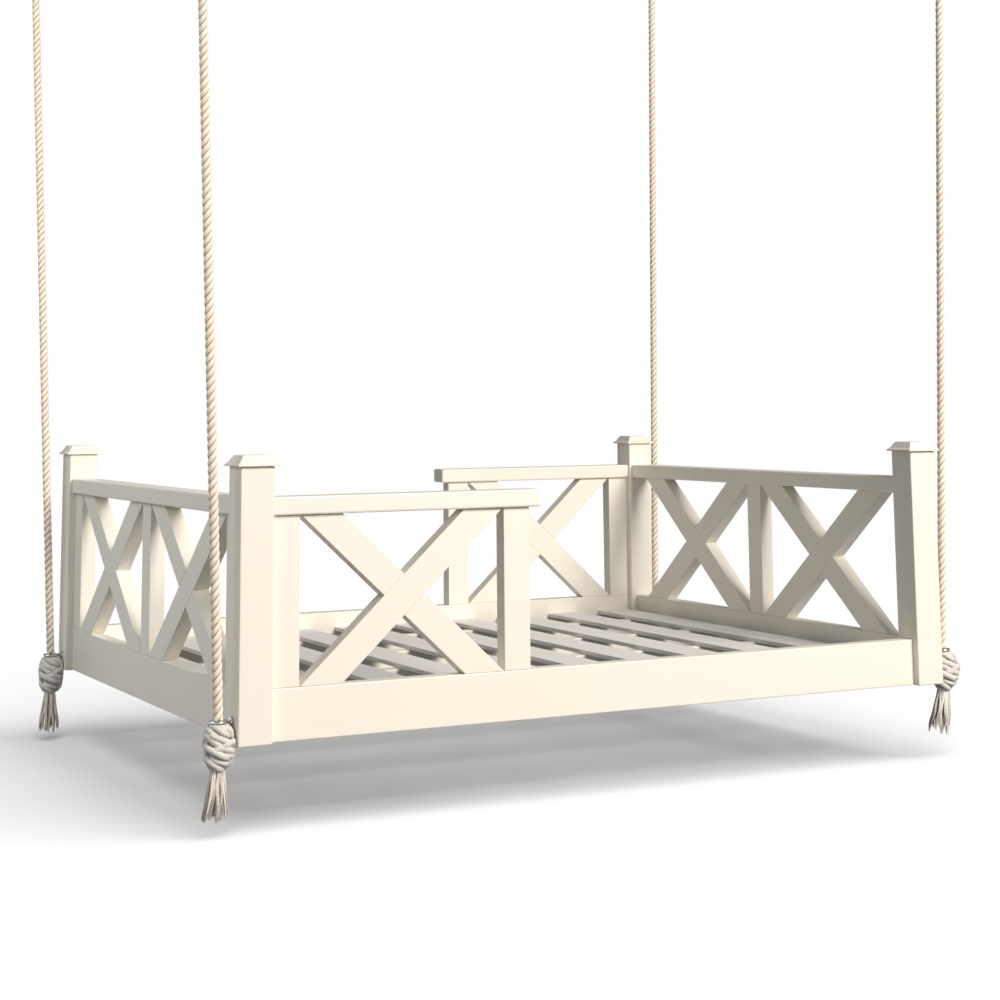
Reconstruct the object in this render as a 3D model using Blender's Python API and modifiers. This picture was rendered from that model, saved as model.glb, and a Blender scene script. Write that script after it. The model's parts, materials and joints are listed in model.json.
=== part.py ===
"""Hanging porch bed: a white timber frame with lattice panels, hung on four ropes.

X runs along the bed, Y across it and Z up, in metres.  The origin is the point of the
ceiling straight above the middle of the bed, so that the whole bed lies below it.
Heights in the sizes are measured up from the feet of the posts.
"""

import math

import bmesh
import bpy
from mathutils import Matrix, Vector

# ---------------------------------------------------------------- driving sizes

GAP = 0.0003                    # between pieces that touch

BED_LENGTH = 2.159              # outside the posts
BED_DEPTH = 1.702
FOOT_DROP = 2.660               # ceiling down to the feet of the posts

POST_SIDE = 0.0889
POST_HEIGHT = 0.668
POST_EASE = 0.003

CAP_OVERHANG = 0.010            # past each face of the post
CAP_HEIGHT = 0.027
CAP_LIP_HEIGHT = 0.0045         # upright edge under the slopes
CAP_BREAK_HALF = 0.0475         # half width where the low slope turns steep
CAP_BREAK_HEIGHT = 0.0095
CAP_TOP_HALF = 0.036            # half width of the flat top
CAP_EASE = 0.001

BOTTOM_RAIL_LIFT = 0.001
BOTTOM_RAIL_HEIGHT = 0.127
BOARD_THICKNESS = 0.04445       # rails, stiles, mullions and braces
BOARD_EASE = 0.0025

TOP_RAIL_BOTTOM = 0.5465
TOP_RAIL_HEIGHT = 0.0455
TOP_RAIL_THICKNESS = 0.072
TOP_RAIL_EASE = 0.005
TOP_RAIL_OVERHANG = 0.030       # free end, past the second stile

STILE_WIDTH = 0.0762
SIDE_LATTICE_WIDTH = 0.5715     # clear width of the lattice in a long side
BRACE_WIDTH = 0.0762
BRACE_EASE = 0.002

TENON_LENGTH = 0.025            # rails into posts
TENON_THICKNESS = 0.0127
TENON_SHOULDER = 0.009
STUB_LENGTH = 0.012             # stiles into rails, bearers into end rails
STUB_SHOULDER = 0.010

DECK_HEIGHT = 0.079             # top of the slats
SLAT_COUNT = 10
SLAT_WIDTH = 0.114
SLAT_MARGIN = 0.038             # end rail to the first slat
SLAT_THICKNESS = 0.0127
SLAT_EASE = 0.002
BEARER_COUNT = 4
BEARER_MARGIN = 0.195           # long rail to the first bearer
BEARER_WIDTH = 0.038
BEARER_HEIGHT = 0.0635

ROPE_DIAMETER = 0.024
ROPE_SPREAD_LEFT = 0.112        # how far the ceiling eyes stand out past the bed's eyes
ROPE_SPREAD_RIGHT = 0.076
ROPE_SPREAD_ACROSS = 0.055
ROPE_LOOP_RADIUS = 0.026        # inside the loop at the ceiling
ROPE_LOOP_LENGTH = 0.085        # middle of the loop down to its throat
ROPE_LOOP_PLAY = 0.0009         # between the loop and the rod that it hangs on
SPLICE_LENGTH = 0.110
SPLICE_RADIUS = 0.019

EYE_HEIGHT = {                  # middle of each ring, as bored by hand
    "front_left": 0.058,
    "front_right": 0.090,
    "back_right": 0.067,
    "back_left": 0.045,
}
EYE_STANDOFF = 0.036            # post face to the middle of the ring
EYE_RING_RADIUS = 0.01875       # to the middle of the rod
EYE_ROD_RADIUS = 0.00425        # ring, neck and shank
EYE_SHANK_LENGTH = 0.055        # inside the post
EYE_NUT_RADIUS = 0.0105         # over the corners
EYE_NUT_HEIGHT = 0.007

KNOT_CLEARANCE = 0.0008         # to the post and the nut beside it
KNOT_HEIGHT = 0.108
KNOT_NECK_RADIUS = 0.019
TASSEL_LENGTH = 0.129
TASSEL_RADIUS = 0.030

PLATE_RADIUS = 0.045
PLATE_THICKNESS = 0.006
PLATE_EASE = 0.0015
HOOK_ROD_RADIUS = 0.006
HOOK_BEND_RADIUS = 0.026        # to the middle of the rod
HOOK_REACH = 0.036              # plate to the middle of the rod at its lowest

CURVE_BEVEL_STEPS = 3           # a tube of ten sides
TURNED_SIDES = 24
SHANK_SIDES = 12
RING_SIDES = 10                 # round the rod of a ring
LOOP_STEPS = 18                 # round the loop of a rope
BEND_STEPS = 12                 # round the bend of a ceiling rod
DISH_STEPS = 4

# Knot, tassel and splice from the top down, as shares of their radius and height.
KNOT_PROFILE = ((0.95, 0.28), (1.00, 0.60), (0.98, 0.80), (0.82, 0.94))
TASSEL_PROFILE = ((0.78, 0.30), (0.92, 0.70), (1.00, 1.00))
SPLICE_PROFILE = ((0.85, 0.55), (1.00, 0.15))
# Where a splice closes in over the throat of the loop: shares of the splice's radius and
# of the rope's.
SPLICE_TIP_PROFILE = ((1.00, 0.40), (0.80, 0.90))

WHITE_PAINT = ((0.90, 0.87, 0.80), 0.42, 0.0)
SLAT_PAINT = ((0.90, 0.89, 0.86), 0.50, 0.0)
STEEL = ((0.62, 0.62, 0.63), 0.25, 1.0)
ROPE_FIBRE = ((0.80, 0.72, 0.58), 0.85, 0.0)
KNOT_FIBRE = ((0.72, 0.69, 0.64), 0.88, 0.0)

# ---------------------------------------------------------------- derived places

INNER_X = BED_LENGTH / 2 - POST_SIDE            # inner faces of the posts
INNER_Y = BED_DEPTH / 2 - POST_SIDE
POST_X = (BED_LENGTH - POST_SIDE) / 2           # middles of the posts
POST_Y = (BED_DEPTH - POST_SIDE) / 2
RAIL_FACE_X = POST_X - BOARD_THICKNESS / 2      # inner faces of the bottom rails
RAIL_FACE_Y = POST_Y - BOARD_THICKNESS / 2
BOTTOM_RAIL_TOP = BOTTOM_RAIL_LIFT + BOTTOM_RAIL_HEIGHT
BEARER_TOP = DECK_HEIGHT - SLAT_THICKNESS - GAP
ROPE_RADIUS = ROPE_DIAMETER / 2
KNOT_RADIUS = EYE_STANDOFF - KNOT_CLEARANCE
HOOK_ROD_DROP = PLATE_THICKNESS + HOOK_REACH    # ceiling to the rod that carries the rope

CORNERS = {
    "front_left": (-1, -1),
    "front_right": (1, -1),
    "back_right": (1, 1),
    "back_left": (-1, 1),
}
# Each side: its turn about Z, its distance from the middle, half its clear length, and
# the posts at its left and right ends as seen from outside.
SIDES = {
    "front": (0, POST_Y, INNER_X, "front_left", "front_right"),
    "right": (90, POST_X, INNER_Y, "front_right", "back_right"),
    "back": (180, POST_Y, INNER_X, "back_right", "back_left"),
    "left": (-90, POST_X, INNER_Y, "back_left", "front_left"),
}


def level(height):
    """Z of a height above the feet of the posts."""
    return height - FOOT_DROP


def side_frame(side):
    """Matrix of a side: x along it, y inwards from the middle of its boards, z up."""
    turn, distance = SIDES[side][:2]
    rotation = Matrix.Rotation(math.radians(turn), 4, "Z")
    return rotation @ Matrix.Translation((0, -distance, level(0)))


def eye_point(corner):
    """Middle of the ring that stands out from a post near its foot."""
    side_x, side_y = CORNERS[corner]
    x = side_x * (BED_LENGTH / 2 + EYE_STANDOFF)
    return Vector((x, side_y * POST_Y, level(EYE_HEIGHT[corner])))


def hook_point(corner):
    """Middle of the rod at the ceiling that the rope's loop hangs on."""
    side_x, side_y = CORNERS[corner]
    spread = ROPE_SPREAD_LEFT if side_x < 0 else ROPE_SPREAD_RIGHT
    x = side_x * (BED_LENGTH / 2 + EYE_STANDOFF + spread)
    return Vector((x, side_y * (POST_Y + ROPE_SPREAD_ACROSS), -HOOK_ROD_DROP))


# ---------------------------------------------------------------- modelling tools

def new_collection(name):
    """A new collection in the scene."""
    collection = bpy.data.collections.new(name)
    bpy.context.scene.collection.children.link(collection)
    return collection


def finish(obj, look):
    """Gives a piece its own Principled material from (colour, roughness, metallic)."""
    colour, roughness, metallic = look
    material = bpy.data.materials.new(obj.name + "_finish")
    material.use_nodes = True
    shader = material.node_tree.nodes["Principled BSDF"]
    shader.inputs["Base Color"].default_value = (*colour, 1)
    shader.inputs["Roughness"].default_value = roughness
    shader.inputs["Metallic"].default_value = metallic
    obj.data.materials.clear()
    obj.data.materials.append(material)
    return obj


def piece(name, data, look):
    """An object of the bed, with its finish."""
    obj = bpy.data.objects.new(name, data)
    parts.objects.link(obj)
    return finish(obj, look)


def tool(name, data, matrix):
    """A hidden shape that is only joined to pieces or cut out of them."""
    obj = bpy.data.objects.new(name, data)
    cutters.objects.link(obj)
    obj.matrix_world = matrix
    obj.hide_render = True
    obj.display_type = "WIRE"
    return obj


def box_mesh(name, size):
    """A box about its own middle."""
    bm = bmesh.new()
    bmesh.ops.create_cube(bm, size=1)
    bmesh.ops.scale(bm, vec=size, verts=bm.verts)
    mesh = bpy.data.meshes.new(name)
    bm.to_mesh(mesh)
    bm.free()
    return mesh


def cone_mesh(name, radius, height, sides):
    """An upright cylinder or prism about its own middle."""
    bm = bmesh.new()
    bmesh.ops.create_cone(bm, cap_ends=True, segments=sides, radius1=radius,
                          radius2=radius, depth=height)
    mesh = bpy.data.meshes.new(name)
    bm.to_mesh(mesh)
    bm.free()
    return mesh


def ease_edges(obj, width, angle=30):
    """Rounds every edge sharper than the angle, in degrees."""
    bevel = obj.modifiers.new("ease", "BEVEL")
    bevel.width = width
    bevel.segments = 2
    bevel.limit_method = "ANGLE"
    bevel.angle_limit = math.radians(angle)


def combine(obj, other, operation, crosses_itself=False):
    """Joins another shape to a piece, or cuts it out of the piece."""
    boolean = obj.modifiers.new(operation.lower(), "BOOLEAN")
    boolean.object = other
    boolean.operation = operation
    boolean.solver = "EXACT"
    boolean.use_self = crosses_itself


def board(name, frame, low, high, ease, look=WHITE_PAINT):
    """A board with eased edges between two corners, given in a frame's coordinates."""
    low, high = Vector(low), Vector(high)
    obj = piece(name, box_mesh(name, high - low), look)
    obj.matrix_world = frame @ Matrix.Translation((low + high) / 2)
    ease_edges(obj, ease)
    return obj


def mortise_and_tenon(member, receiver, frame, low, high):
    """Grows a tenon from one board and cuts the mortise for it in another."""
    low, high = Vector(low), Vector(high)
    play = Vector((GAP, GAP, GAP))
    place = frame @ Matrix.Translation((low + high) / 2)
    label = f"{member.name}_in_{receiver.name}"
    combine(member, tool(f"tenon_{label}", box_mesh("tenon", high - low), place), "UNION")
    hole = box_mesh("mortise", high - low + 2 * play)
    combine(receiver, tool(f"mortise_{label}", hole, place), "DIFFERENCE")


def profile_mesh(name, profile, turn=0):
    """A profile of (radius, height) points, listed from the top down, at a turn about Z."""
    mesh = bpy.data.meshes.new(name)
    start = Matrix.Rotation(math.radians(turn), 4, "Z")
    points = [start @ Vector((radius, 0, height)) for radius, height in profile]
    mesh.from_pydata(points, [(i, i + 1) for i in range(len(points) - 1)], [])
    return mesh


def turn_profile(obj, steps):
    """Turns the profile of a piece a whole round about its own Z."""
    screw = obj.modifiers.new("turn", "SCREW")
    screw.steps = steps
    screw.render_steps = steps
    screw.use_merge_vertices = True
    screw.merge_threshold = 0.00001
    screw.use_smooth_shade = steps > 4


def tube_mesh(name, points, radii, bevel_steps=CURVE_BEVEL_STEPS):
    """A closed tube along points, with a radius at each point."""
    curve = bpy.data.curves.new(name, "CURVE")
    curve.dimensions = "3D"
    curve.bevel_depth = 1
    curve.bevel_resolution = bevel_steps
    curve.use_fill_caps = True
    spline = curve.splines.new("POLY")
    spline.points.add(len(points) - 1)
    for target, point, radius in zip(spline.points, points, radii):
        target.co = (*point, 1)
        target.radius = radius
    obj = bpy.data.objects.new(name, curve)
    parts.objects.link(obj)
    evaluated = obj.evaluated_get(bpy.context.evaluated_depsgraph_get())
    mesh = bpy.data.meshes.new_from_object(evaluated)
    bpy.data.objects.remove(obj)
    bpy.data.curves.remove(curve)
    bm = bmesh.new()
    bm.from_mesh(mesh)
    bmesh.ops.remove_doubles(bm, verts=bm.verts, dist=0.00001)
    bmesh.ops.recalc_face_normals(bm, faces=bm.faces)
    bm.to_mesh(mesh)
    bm.free()
    mesh.name = name
    return mesh


def smooth(obj, angle=40):
    """Shades a round piece smooth, apart from its sharp edges."""
    obj.data.shade_smooth()
    obj.data.set_sharp_from_angle(angle=math.radians(angle))


# ---------------------------------------------------------------- posts and caps

def add_post(corner):
    """A square post, with the blind hole for its eye bolt in the end face."""
    side_x, side_y = CORNERS[corner]
    half = POST_SIDE / 2
    frame = Matrix.Translation((side_x * POST_X, side_y * POST_Y, level(0)))
    post = board(f"post_{corner}", frame, (-half, -half, 0), (half, half, POST_HEIGHT),
                 POST_EASE)
    length = 2 * (EYE_SHANK_LENGTH + GAP)
    hole = cone_mesh("eye_hole", EYE_ROD_RADIUS + GAP, length, SHANK_SIDES)
    place = Matrix.Translation((side_x * BED_LENGTH / 2, side_y * POST_Y,
                                level(EYE_HEIGHT[corner])))
    lay_down = Matrix.Rotation(math.pi / 2, 4, "Y")
    combine(post, tool(f"eye_hole_{corner}", hole, place @ lay_down), "DIFFERENCE")
    return post


def add_cap(corner):
    """A square cap with two slopes and a flat top, turned in four steps."""
    side_x, side_y = CORNERS[corner]
    lip_half = POST_SIDE / 2 + CAP_OVERHANG
    outline = [
        (0, CAP_HEIGHT),
        (CAP_TOP_HALF, CAP_HEIGHT),
        (CAP_BREAK_HALF, CAP_BREAK_HEIGHT),
        (lip_half, CAP_LIP_HEIGHT),
        (lip_half, 0),
        (0, 0),
    ]
    corner_outline = [(half * math.sqrt(2), height) for half, height in outline]
    name = f"cap_{corner}"
    cap = piece(name, profile_mesh(name, corner_outline, turn=45), WHITE_PAINT)
    cap.location = (side_x * POST_X, side_y * POST_Y, level(POST_HEIGHT + GAP))
    turn_profile(cap, 4)
    ease_edges(cap, CAP_EASE, angle=15)
    return cap


# ---------------------------------------------------------------- side panels

def add_bottom_rail(side, posts):
    """A rail between two posts at their feet, tenoned into both."""
    frame = side_frame(side)
    reach = SIDES[side][2]
    half = BOARD_THICKNESS / 2
    rail = board(f"bottom_rail_{side}", frame,
                 (GAP - reach, -half, BOTTOM_RAIL_LIFT),
                 (reach - GAP, half, BOTTOM_RAIL_TOP), BOARD_EASE)
    low = BOTTOM_RAIL_LIFT + TENON_SHOULDER
    high = BOTTOM_RAIL_TOP - TENON_SHOULDER
    for end, corner in zip((-1, 1), SIDES[side][3:]):
        tenon_into_post(rail, posts[corner], frame, end * reach, end, low, high)
    return rail


def tenon_into_post(rail, post, frame, face, end, low, high):
    """Joins one end of a rail to the post whose face stands at that place."""
    inside, outside = face - end * TENON_LENGTH, face + end * TENON_LENGTH
    mortise_and_tenon(rail, post, frame,
                      (min(inside, outside), -TENON_THICKNESS / 2, low),
                      (max(inside, outside), TENON_THICKNESS / 2, high))


def add_top_rail(side, posts):
    """A thick rail: right across an end, or from one post past a long side's lattice."""
    frame = side_frame(side)
    reach = SIDES[side][2]
    half = TOP_RAIL_THICKNESS / 2
    across_end = side in ("left", "right")
    far = reach - GAP if across_end else second_stile_edge() + TOP_RAIL_OVERHANG
    top = TOP_RAIL_BOTTOM + TOP_RAIL_HEIGHT
    rail = board(f"top_rail_{side}", frame, (GAP - reach, -half, TOP_RAIL_BOTTOM),
                 (far, half, top), TOP_RAIL_EASE)
    ends = (-1, 1) if across_end else (-1,)
    for end, corner in zip(ends, SIDES[side][3:]):
        tenon_into_post(rail, posts[corner], frame, end * reach, end,
                        TOP_RAIL_BOTTOM + TENON_SHOULDER, top - TENON_SHOULDER)
    return rail


def second_stile_edge():
    """Far edge of a long side's second stile, along the side."""
    return 2 * STILE_WIDTH + SIDE_LATTICE_WIDTH - INNER_X


def add_stile(name, side, start, rails):
    """An upright board between the rails of a side, with a stub tenon in each."""
    frame = side_frame(side)
    half = BOARD_THICKNESS / 2
    bottom, top = BOTTOM_RAIL_TOP + GAP, TOP_RAIL_BOTTOM - GAP
    left, right = start, start + STILE_WIDTH
    stile = board(name, frame, (left, -half, bottom), (right, half, top), BRACE_EASE)
    for rail, edge in zip(rails, (BOTTOM_RAIL_TOP, TOP_RAIL_BOTTOM)):
        mortise_and_tenon(stile, rail, frame,
                          (left + STUB_SHOULDER, -TENON_THICKNESS / 2, edge - STUB_LENGTH),
                          (right - STUB_SHOULDER, TENON_THICKNESS / 2, edge + STUB_LENGTH))
    return stile


def brace_foot(span, height):
    """Length of a brace's level end cut, for a brace from corner to corner."""
    spare = height ** 2 - BRACE_WIDTH ** 2
    square = BRACE_WIDTH ** 2 * span
    return (math.sqrt(square ** 2 + spare * BRACE_WIDTH ** 2 * (span ** 2 + height ** 2))
            - square) / spare


def brace_mesh(name, span, height, lean):
    """A slanting board with level ends that fills a panel from corner to corner."""
    foot = brace_foot(span, height)
    mesh = box_mesh(name, (foot, BOARD_THICKNESS, height))
    mesh.transform(Matrix.Shear("XY", 4, (lean * (span - foot) / height, 0)))
    return mesh


def add_lattice(name, side, left, right):
    """Two braces halved into one another, between the rails and two uprights."""
    span = right - left - 2 * GAP
    height = TOP_RAIL_BOTTOM - BOTTOM_RAIL_TOP - 2 * GAP
    middle = ((left + right) / 2, 0, (BOTTOM_RAIL_TOP + TOP_RAIL_BOTTOM) / 2)
    place = side_frame(side) @ Matrix.Translation(middle)
    lattice = piece(name, brace_mesh(name, span, height, 1), WHITE_PAINT)
    lattice.matrix_world = place
    ease_edges(lattice, BRACE_EASE)
    other = tool(f"{name}_crossing", brace_mesh(name, span, height, -1), place)
    ease_edges(other, BRACE_EASE)
    combine(lattice, other, "UNION")
    return lattice


def add_long_side(side, posts):
    """Rails, two stiles and a lattice beside one post; the rest of the side is open."""
    rails = (add_bottom_rail(side, posts), add_top_rail(side, posts))
    start = -INNER_X
    add_stile(f"stile_{side}_post", side, start + GAP, rails)
    add_stile(f"stile_{side}_open", side, start + STILE_WIDTH + SIDE_LATTICE_WIDTH, rails)
    add_lattice(f"lattice_{side}", side, start + STILE_WIDTH + GAP,
                start + STILE_WIDTH + SIDE_LATTICE_WIDTH)
    return rails[0]


def add_end(side, posts, with_stiles):
    """Rails, a mullion and two lattices; stiles beside the posts on one end only."""
    rails = (add_bottom_rail(side, posts), add_top_rail(side, posts))
    add_stile(f"mullion_{side}", side, -STILE_WIDTH / 2, rails)
    inner, outer = STILE_WIDTH / 2, INNER_Y - STILE_WIDTH
    near, far = SIDES[side][3:]
    add_lattice(f"lattice_{near}", side, -outer, -inner)
    add_lattice(f"lattice_{far}", side, inner, outer)
    if with_stiles:
        add_stile(f"stile_{near}", side, GAP - INNER_Y, rails)
        add_stile(f"stile_{far}", side, outer - GAP, rails)
    return rails[0]


# ---------------------------------------------------------------- slatted deck

def spread(face, margin, width, count):
    """Middles of equal boards, evenly spread between two rails with a margin to each."""
    end = face - margin - width / 2
    return [end * (2 * index / (count - 1) - 1) for index in range(count)]


def add_bearers(end_rails):
    """Beams along the bed under the slats, stubbed into the end rails."""
    frame = Matrix.Translation((0, 0, level(0)))
    half = BEARER_WIDTH / 2
    low, high = BEARER_TOP - BEARER_HEIGHT, BEARER_TOP
    middles = spread(RAIL_FACE_Y, BEARER_MARGIN, BEARER_WIDTH, BEARER_COUNT)
    for number, y in enumerate(middles, 1):
        bearer = board(f"bearer_{number}", frame, (GAP - RAIL_FACE_X, y - half, low),
                       (RAIL_FACE_X - GAP, y + half, high), BRACE_EASE)
        for end, rail in zip((-1, 1), end_rails):
            ends = sorted((end * (RAIL_FACE_X - STUB_LENGTH), end * (RAIL_FACE_X + STUB_LENGTH)))
            mortise_and_tenon(bearer, rail, frame,
                              (ends[0], y - TENON_THICKNESS / 2, low + STUB_SHOULDER),
                              (ends[1], y + TENON_THICKNESS / 2, high - STUB_SHOULDER))


def add_slats():
    """Boards across the bed that carry the mattress."""
    reach = RAIL_FACE_Y - GAP
    frame = Matrix.Translation((0, 0, level(0)))
    middles = spread(RAIL_FACE_X, SLAT_MARGIN, SLAT_WIDTH, SLAT_COUNT)
    for number, x in enumerate(middles, 1):
        board(f"slat_{number:02d}", frame,
              (x - SLAT_WIDTH / 2, -reach, DECK_HEIGHT - SLAT_THICKNESS),
              (x + SLAT_WIDTH / 2, reach, DECK_HEIGHT), SLAT_EASE, SLAT_PAINT)


# ---------------------------------------------------------------- eyes, ropes, knots

def add_eye_bolt(corner):
    """A level ring on a shank, with a nut against the post."""
    side_x = CORNERS[corner][0]
    inwards = Matrix.Rotation(0 if side_x < 0 else math.pi, 4, "Z")
    place = Matrix.Translation(eye_point(corner)) @ inwards
    name = f"eye_bolt_{corner}"
    bpy.ops.mesh.primitive_torus_add(
        major_radius=EYE_RING_RADIUS, major_segments=TURNED_SIDES,
        minor_radius=EYE_ROD_RADIUS, minor_segments=RING_SIDES)
    ring = bpy.context.object
    mesh = ring.data
    mesh.name = name
    bpy.data.objects.remove(ring)
    bolt = piece(name, mesh, STEEL)
    bolt.matrix_world = place
    lay_down = Matrix.Rotation(math.pi / 2, 4, "Y")
    shank_end = EYE_STANDOFF + EYE_SHANK_LENGTH
    shank = cone_mesh("shank", EYE_ROD_RADIUS, shank_end - EYE_RING_RADIUS, SHANK_SIDES)
    middle = Matrix.Translation(((shank_end + EYE_RING_RADIUS) / 2, 0, 0))
    combine(bolt, tool(f"shank_{corner}", shank, place @ middle @ lay_down), "UNION")
    nut = cone_mesh("nut", EYE_NUT_RADIUS, EYE_NUT_HEIGHT, 6)
    middle = Matrix.Translation((EYE_STANDOFF - GAP - EYE_NUT_HEIGHT / 2, 0, 0))
    combine(bolt, tool(f"nut_{corner}", nut, place @ middle @ lay_down), "UNION")
    smooth(bolt)
    return bolt


def arc(radius, start, end, steps):
    """Points (across, up) on a circle about the middle, angles in degrees from +across."""
    angles = [math.radians(start + (end - start) * step / steps)
              for step in range(steps + 1)]
    return [(radius * math.cos(angle), radius * math.sin(angle)) for angle in angles]


def add_knot(corner):
    """The knot under a ring and the tassel below it, as one turned solid.

    Its top is dished to hold the rounded end of the rope, whose middle is the ring's.
    """
    seat = ROPE_RADIUS + GAP
    top = -(EYE_ROD_RADIUS + GAP)
    bottom = top - KNOT_HEIGHT
    rim = math.degrees(math.asin(top / seat))
    dish = [(0, -seat)] + arc(seat, -90, rim, DISH_STEPS)[1:]
    beside_nut = EYE_STANDOFF - EYE_NUT_HEIGHT - GAP - KNOT_CLEARANCE
    barrel = [
        (beside_nut - EYE_ROD_RADIUS, top),
        (beside_nut, -EYE_NUT_RADIUS - KNOT_CLEARANCE),
    ]
    barrel += [(KNOT_RADIUS * wide, top - KNOT_HEIGHT * down) for wide, down in KNOT_PROFILE]
    barrel += [(KNOT_NECK_RADIUS, bottom)]
    tassel = [(TASSEL_RADIUS * wide, bottom - TASSEL_LENGTH * down)
              for wide, down in TASSEL_PROFILE]
    tassel += [(0, bottom - TASSEL_LENGTH)]
    name = f"knot_{corner}"
    knot = piece(name, profile_mesh(name, dish + barrel + tassel), KNOT_FIBRE)
    knot.location = eye_point(corner)
    turn_profile(knot, TURNED_SIDES)
    return knot


def rope_frame(corner):
    """Matrix with its origin on the ceiling rod, z up the rope and x square to the rod."""
    top = hook_point(corner)
    up = (top - eye_point(corner)).normalized()
    side = up.cross(Vector((1, 0, 0))).normalized()
    frame = Matrix((side, up.cross(side), up)).transposed().to_4x4()
    return Matrix.Translation(top) @ frame


def loop_route():
    """Points of the loop round the ceiling rod, in the rope's frame."""
    radius = ROPE_LOOP_RADIUS + ROPE_RADIUS
    middle = HOOK_ROD_RADIUS + ROPE_LOOP_PLAY - ROPE_LOOP_RADIUS
    tangent = math.degrees(math.acos(radius / ROPE_LOOP_LENGTH))
    bend = arc(radius, tangent - 90, 270 - tangent, LOOP_STEPS)
    throat = (0, 0, middle - ROPE_LOOP_LENGTH)
    return [throat] + [(across, 0, middle + up) for across, up in bend] + [throat]


def add_rope(corner):
    """A rope from the ring near the foot to its spliced loop at the ceiling."""
    frame = rope_frame(corner)
    bottom = -(hook_point(corner) - eye_point(corner)).length
    route = loop_route()
    throat = route[0][2]
    splice = throat - SPLICE_LENGTH
    round_end = [(across, bottom + up) for across, up in arc(ROPE_RADIUS, -72, -24, 2)]
    steps = math.ceil((splice - bottom) / (3 * ROPE_DIAMETER))
    plain = [(ROPE_RADIUS, bottom + (splice - bottom) * step / steps)
             for step in range(steps + 1)]
    swollen = [(SPLICE_RADIUS * wide, throat - SPLICE_LENGTH * down)
               for wide, down in SPLICE_PROFILE]
    swollen += [(SPLICE_RADIUS * wide, throat + ROPE_RADIUS * up)
                for wide, up in SPLICE_TIP_PROFILE]
    profile = round_end + plain + swollen
    name = f"rope_{corner}"
    rope = piece(name, tube_mesh(name, [(0, 0, along) for _, along in profile],
                                 [radius for radius, _ in profile]), ROPE_FIBRE)
    rope.matrix_world = frame
    loop = tube_mesh("loop", route, [ROPE_RADIUS] * len(route))
    combine(rope, tool(f"loop_{corner}", loop, frame), "UNION", crosses_itself=True)
    smooth(rope)
    return rope


def add_ceiling_eye(corner):
    """A round plate against the ceiling with a bent rod below it."""
    top = hook_point(corner)
    name = f"ceiling_eye_{corner}"
    eye = piece(name, cone_mesh(name, PLATE_RADIUS, PLATE_THICKNESS, TURNED_SIDES), STEEL)
    eye.location = (top.x, top.y, -PLATE_THICKNESS / 2)
    ease_edges(eye, PLATE_EASE)
    bend_middle = HOOK_BEND_RADIUS - HOOK_ROD_DROP
    bend = arc(HOOK_BEND_RADIUS, 180, 360, BEND_STEPS)
    route = [(-HOOK_BEND_RADIUS, -PLATE_THICKNESS / 2)]
    route += [(across, bend_middle + up) for across, up in bend]
    route += [(HOOK_BEND_RADIUS, -PLATE_THICKNESS / 2)]
    rod = tube_mesh("hook", [(across, 0, up) for across, up in route],
                    [HOOK_ROD_RADIUS] * len(route))
    place = Matrix.Translation((top.x, top.y, 0))
    combine(eye, tool(f"hook_{corner}", rod, place), "UNION")
    smooth(eye)
    return eye


# ---------------------------------------------------------------- the whole bed

for old in list(bpy.data.objects):
    bpy.data.objects.remove(old)
parts = new_collection("porch_bed_swing")
cutters = new_collection("cutters")

posts = {corner: add_post(corner) for corner in CORNERS}
for corner in CORNERS:
    add_cap(corner)
    add_eye_bolt(corner)
    add_knot(corner)
    add_rope(corner)
    add_ceiling_eye(corner)
for side in ("front", "back"):
    add_long_side(side, posts)
end_rails = (add_end("left", posts, with_stiles=True),
             add_end("right", posts, with_stiles=False))
add_bearers(end_rails)
add_slats()
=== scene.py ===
"""Dresses the hanging porch bed: painted timber, plated eyes, twisted ropes and tied knots.

Lengths are in metres, but for the knot's folds, which are in millimetres. The coordinates are
the frame's own: X along the bed, Y across it, and Z up to the ceiling that it hangs from.
"""

import json
import logging
import math
from collections.abc import Callable, Mapping, Sequence
from dataclasses import dataclass, field
from enum import Enum

import bmesh
import bpy
import numpy as np
from mathutils import Matrix, Vector

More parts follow.
